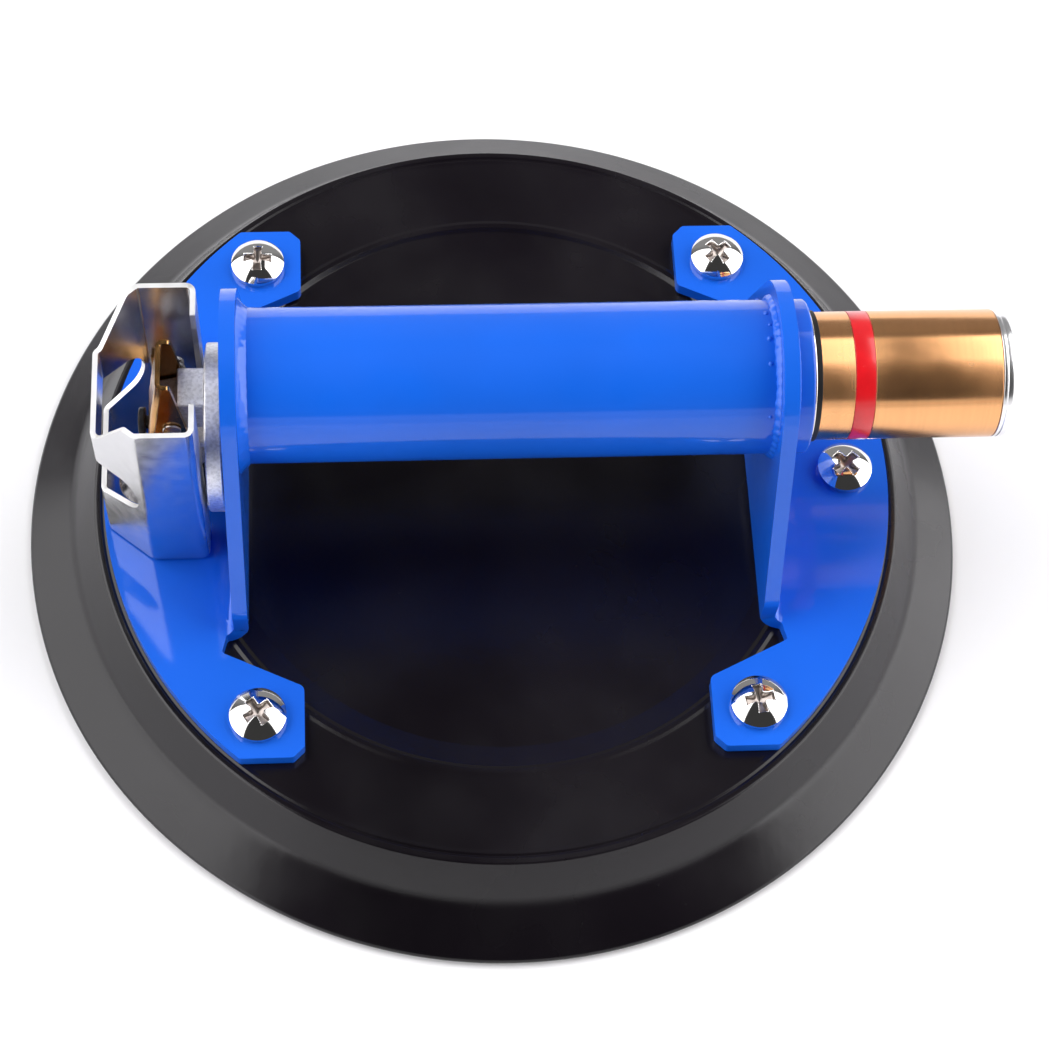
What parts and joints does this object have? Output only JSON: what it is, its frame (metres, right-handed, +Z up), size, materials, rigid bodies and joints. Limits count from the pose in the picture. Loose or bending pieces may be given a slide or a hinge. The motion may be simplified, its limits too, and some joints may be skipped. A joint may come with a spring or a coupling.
{
  "type": "vacuum suction cup",
  "caption": "Hand-held vacuum lifting cup: round rubber pad, steel bridge handle with a push pump in its tube, and a hinged release lever.",
  "frame": {"origin": "pad axis on the sealing plane, the plane that the pad's lip rests on", "axes": "+Z up from the sealing plane, +X along the handle towards the pump plunger, -X towards the release lever"},
  "size_m": [0.21, 0.21, 0.0838],
  "materials": {
    "black_rubber": "moulded black rubber with a soft sheen",
    "soft_rubber": "matt black rubber",
    "blue_enamel": "glossy blue powder enamel on steel",
    "screw_chrome": "bright nickel plate",
    "lever_chrome": "bright plated spring steel sheet",
    "zinc_steel": "zinc plated steel",
    "black_oxide": "black oxide steel",
    "cast_zinc": "satin die-cast alloy",
    "gold_anodised": "turned and gold anodised, fine lathe lines",
    "satin_silver": "satin turned aluminium",
    "red_band": "glossy red paint",
    "bronze": "spring bronze sheet",
    "white_plastic": "acetal",
    "filter_foam": "open cell filter foam"
  },
  "bodies": {
    "base": {"vacuum_pad": "black_rubber", "pad_insert_ring": "zinc_steel", "bracket_left": "blue_enamel", "bracket_right": "blue_enamel", "pad_screw_1": "screw_chrome", "pad_screw_2": "screw_chrome", "pad_screw_3": "screw_chrome", "pad_screw_4": "screw_chrome", "pad_screw_5": "screw_chrome", "pad_screw_6": "screw_chrome", "handle_tube": "blue_enamel", "guide_bush": "screw_chrome", "wiper_ring": "soft_rubber", "pump_end_plug": "white_plastic", "inlet_flap_valve": "soft_rubber", "pump_spring": "zinc_steel", "valve_body": "cast_zinc", "valve_gasket": "soft_rubber", "valve_screw_front": "zinc_steel", "valve_screw_rear": "zinc_steel", "air_hose": "soft_rubber", "base_fitting": "cast_zinc", "port_filter": "filter_foam", "lever_pin": "zinc_steel", "lever_return_spring": "zinc_steel"},
    "plunger": {"plunger_tube": "gold_anodised", "plunger_cap": "satin_silver", "indicator_band": "red_band", "plunger_stop_ring": "zinc_steel", "piston_head": "white_plastic", "piston_seal": "soft_rubber"},
    "lever": {"release_lever": "lever_chrome", "lever_hinge_bracket": "bronze"},
    "release_valve": {"release_valve_stem": "black_oxide", "release_valve_seal": "soft_rubber"}
  },
  "joints": [
    {"name": "plunger_slide", "type": "slide", "parent": "base", "child": "plunger", "axis": [1, 0, 0], "range_m": [-0.036, 0], "stiffness_N_per_m": 400, "springref_m": 0.02, "deforming": ["pump_spring"]},
    {"name": "lever_hinge", "type": "hinge", "parent": "base", "child": "lever", "pos_m": [-0.069, 0, 0.057], "axis": [0, 1, 0], "range_deg": [0, 8], "stiffness_Nm_per_rad": 0.15, "springref_deg": -17.19, "deforming": ["lever_return_spring"]},
    {"name": "valve_pull", "type": "slide", "parent": "base", "child": "release_valve", "axis": [-1, 0, 0], "range_m": [0, 0.0012]}
  ],
  "couplings": [
    {"joint": "valve_pull", "follows": "lever_hinge", "m_per_rad": 0.0075}
  ]
}
